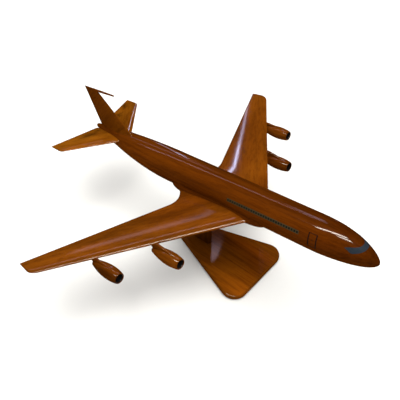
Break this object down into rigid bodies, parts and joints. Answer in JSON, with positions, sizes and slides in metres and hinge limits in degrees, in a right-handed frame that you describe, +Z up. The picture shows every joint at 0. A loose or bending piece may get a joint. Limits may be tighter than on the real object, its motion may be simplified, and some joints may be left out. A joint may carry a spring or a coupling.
{
  "type": "desktop airliner model",
  "caption": "Glossy carved-wood model of a swept-wing jet airliner, held nose-up by a pin on a rounded-triangle wooden stand; it lifts off and turns on the pin.",
  "frame": {"origin": "on the resting face of the stand, straight below the point where the airframe sits on its pin", "axes": "+X forward towards the nose, +Y to port, +Z up from the table; the XZ plane is the plane of symmetry"},
  "size_m": [0.4517, 0.448, 0.1753],
  "materials": {
    "body_wood": "gloss lacquer over red-brown mahogany-like timber",
    "wing_wood": "gloss lacquer over orange-brown mahogany-like timber",
    "tail_wood": "gloss lacquer over lighter orange-brown timber with dark streaks",
    "stand_wood": "gloss lacquer over dark brown timber",
    "window_film": "thin dark blue-green film: the windscreen, the cabin windows and the door outlines",
    "black_paint": "black paint in the engine inlets and exhausts",
    "dowel_wood": "plain unfinished hardwood, inside the model, inferred",
    "steel": "satin steel, inside the model, inferred",
    "brass": "satin turned brass, at the hidden seat, inferred",
    "felt": "matte dark green felt, underneath, inferred"
  },
  "bodies": {
    "stand": {"base_plate": "stand_wood", "felt_sheet": "felt", "upright": "stand_wood", "upright_screws": "steel", "mounting_pin": "steel"},
    "washer": {"seat_washer": "brass"},
    "airframe": {"belly_bush": "brass", "belly_fairing": "body_wood", "fin": "body_wood", "fin_dowels": "dowel_wood", "fin_probe": "wing_wood", "fuselage": "body_wood", "nacelle_inner_left": "body_wood", "nacelle_inner_right": "body_wood", "nacelle_outer_left": "body_wood", "nacelle_outer_right": "body_wood", "nacelle_pins": "steel", "pylon_inner_left": "wing_wood", "pylon_inner_right": "wing_wood", "pylon_outer_left": "wing_wood", "pylon_outer_right": "wing_wood", "pylon_pins": "steel", "tailplane_dowels": "dowel_wood", "tailplane_left": "tail_wood", "tailplane_right": "tail_wood", "wing_dowels_left": "dowel_wood", "wing_dowels_right": "dowel_wood", "wing_left": "wing_wood", "wing_right": "wing_wood"}
  },
  "joints": [
    {"name": "swivel", "type": "hinge", "parent": "stand", "child": "washer", "pos_m": [0, 0, 0.0957], "axis": [-0.1425, 0, 0.9898], "continuous": true},
    {"name": "lift_off", "type": "slide", "parent": "washer", "child": "airframe", "axis": [-0.1425, 0, 0.9898], "range_m": [0, 0.025]}
  ]
}
